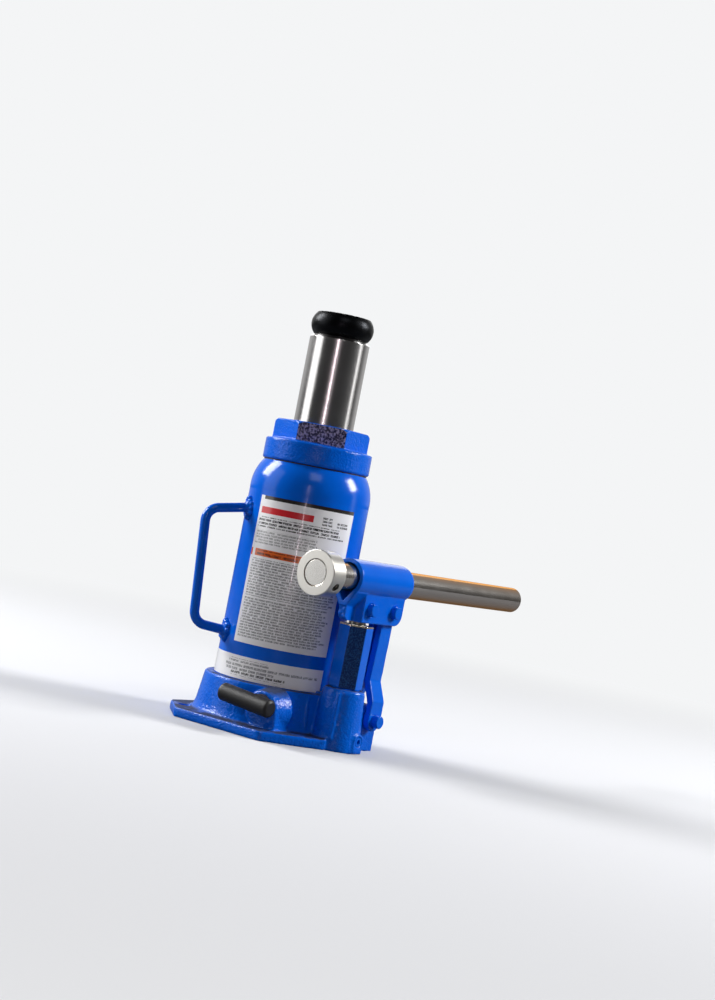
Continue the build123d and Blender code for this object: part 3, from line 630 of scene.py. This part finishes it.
# %% Nut, pump, links
nut = copy_of(["top_nut"], "cast_top_nut")
soften(nut, 0.6, 4, grit_mm=0.1)
settle(nut, "frame", "blue_casting", enamel_on_nut, "top_nut")

pump = copy_of(["pump_body"], "hexagon_pump_body")
soften(pump, 0.5, 2)
settle(pump, "frame", "blue_steel", enamel_on_pump, "pump_body")

for side in ("front", "rear"):
    arm = copy_of(["link_arm_" + side], "joggled_link_" + side)
    soften(arm, 0.45, 3)
    settle(arm, "link", "blue_steel", enamel_on_sheet, "link_arm_" + side)

# %% [markdown]
# ## The handle socket
# The socket is one sheet, rolled into a tube and folded down into two ears. At the mouth the two ears are
# pinched into a doubled web and spot welded, which leaves small humps along its edge. The humps are drops
# of metal set half into the web before the remesh.

# %% Handle socket
socket = copy_of(["handle_socket"], "pressed_handle_socket")
WEB_EDGE_Y = -20.6
humps = [blob((PUMP_X + side * 1.7, WEB_EDGE_Y, z), (1.7, 1.0, size))
         for side, z, size in ((1, 97.6, 1.8), (-1, 94.6, 1.6), (1, 93.2, 1.4), (-1, 99.2, 1.5))]
merge_into(socket, humps)
soften(socket, 0.5, 5)
settle(socket, "socket", "blue_steel", enamel_on_sheet, "handle_socket")

# %% [markdown]
# ## The carry handle and its welds
# The handle's round bar ends on the tank in two hand-laid welds: uneven beads round each foot, with drops
# above and below. The drops are placed by a seeded random generator, so every run gives the same weld,
# and the remesh melts bar, beads and drops into one.

# %% Carry handle
WELD_SEED, DROPS = 7, 11
TANK_OUT, CARRY_TURN = 43.3, math.radians(238)
UPPER_FOOT, LOWER_FOOT = 153.4, 65.4          # heights of the handle's two feet, mm
outward = Vector((math.cos(CARRY_TURN), math.sin(CARRY_TURN), 0))
sideways = Vector((-outward.y, outward.x, 0))


def weld(foot_z, chance):
    """Drops round one foot of the handle, spread further up and down than sideways."""
    drops = []
    for k in range(DROPS):
        turn = 2 * math.pi * k / DROPS
        reach = chance.uniform(3.8, 5.4)
        lift = 1.25 if k % 3 else 1.6
        place = (outward * (TANK_OUT + chance.uniform(0.0, 0.7)) + sideways * reach * math.cos(turn)
                 + Vector((0, 0, foot_z + lift * reach * math.sin(turn))))
        drops.append(blob(place, [chance.uniform(1.8, 2.9) for _ in range(3)]))
    return drops


handle = copy_of(["carry_handle"], "welded_carry_handle")
chance = random.Random(WELD_SEED)
merge_into(handle, weld(UPPER_FOOT, chance) + weld(LOWER_FOOT, chance))
soften(handle, 0.4, 3)
settle(handle, "frame", "blue_steel", enamel_on_steel, "carry_handle")

# %% [markdown]
# ## The extension screw
# Raising the saddle by hand shows a coarse trapezoid thread. Its ridge is a four-cornered outline carried
# round by a Screw modifier, one pitch of 5 mm a turn, and laid on a plain core, whose groove and stub stay
# as the CAD has them. Modelling the groove instead would need a cut along the whole helix.

# %% Extension screw thread
PITCH, THREAD_LOW, THREAD_TURNS = 5.0, 208.0, 15
THREAD_OUT, THREAD_IN, CREST, ROOT = 13.9, 12.2, 1.5, 3.2
SCREW_LOW, NECK, SCREW_TOP, STUB_R = 206.0, 284.5, 293.5, 9.9

bpy.ops.object.select_all(action="DESELECT")
bpy.ops.mesh.primitive_plane_add(size=1)
ridge = bpy.context.object
ridge.name = "screw_ridge"
corners = [(THREAD_IN, -ROOT / 2), (THREAD_OUT, -CREST / 2), (THREAD_OUT, CREST / 2), (THREAD_IN, ROOT / 2)]
order = [0, 1, 3, 2]                     # how the plane primitive numbers its corners
for vertex, corner in zip(order, corners):
    across, up = corner
    ridge.data.vertices[vertex].co = Vector((across, 0, THREAD_LOW + up)) * MM
turns = ridge.modifiers.new("turns", "SCREW")
turns.axis, turns.screw_offset, turns.iterations = "Z", PITCH * MM, THREAD_TURNS
turns.steps = turns.render_steps = 40
apply_all(ridge)
core = rod((0, 0, SCREW_LOW), (0, 0, NECK), THREAD_IN + 0.1, 64)
stub = rod((0, 0, NECK - 0.2), (0, 0, SCREW_TOP), STUB_R, 48)
merge_into(ridge, [core, stub])
bpy.ops.object.mode_set(mode="EDIT")
bpy.ops.mesh.select_all(action="SELECT")
bpy.ops.mesh.remove_doubles(threshold=0.002 * MM)
bpy.ops.mesh.normals_make_consistent(inside=False)
bpy.ops.object.mode_set(mode="OBJECT")
ridge.name = "threaded_extension_screw"
bpy.ops.object.shade_smooth_by_angle(angle=math.radians(35))
settle(ridge, "screw", "inner_steel", oiled_steel, "extension_screw")

# %% [markdown]
# ## The moulded grip
# The release lever's grip is dipped or moulded over the steel bar: soft ends, no sharp line anywhere.

# %% Grip
grip = copy_of(["release_grip"], "moulded_release_grip")
soften(grip, 0.4, 6)
settle(grip, "release", "black_grip", grip_pvc, "release_grip")

# %% [markdown]
# ## Finishes of the pieces that stay as the CAD has them
# Turned and ground pieces are already right: their edges are true chamfers. They only change material.

# %% Assign materials
FINISH = [
    (main_vinyl, ["main_label"]),
    (strip_vinyl, ["lower_label"]),
    (enamel_on_steel, ["tank"]),
    (enamel_on_sheet, ["plunger_pin", "link_pin", "base_pin", "overload_plug"]),
    (hard_chrome, ["ram"]),
    (zinc_bar, ["handle_bar"]),
    (zinc_turned, ["bar_stop_collar"]),
    (oiled_steel, ["pressure_cylinder", "ram_piston", "ram_piston_nut", "saddle_snap_ring", "pump_plunger",
                   "inlet_check_ball", "release_ball", "overload_spring", "overload_ball", "oil_screen"]),
    (black_oxide, ["saddle", "release_stem", "stop_collar_screw"]),
    (nitrile, ["tank_gasket_lower", "tank_gasket_upper", "cylinder_gasket", "ram_wiper", "filler_plug",
               "ram_cup_seal", "pump_wiper", "pump_cup_seal"]),
]
for material, names in FINISH:
    for name in names:
        nodes[name].data.materials.clear()
        nodes[name].data.materials.append(material)
print(sum(len(names) for _, names in FINISH), "CAD pieces keep their shape")
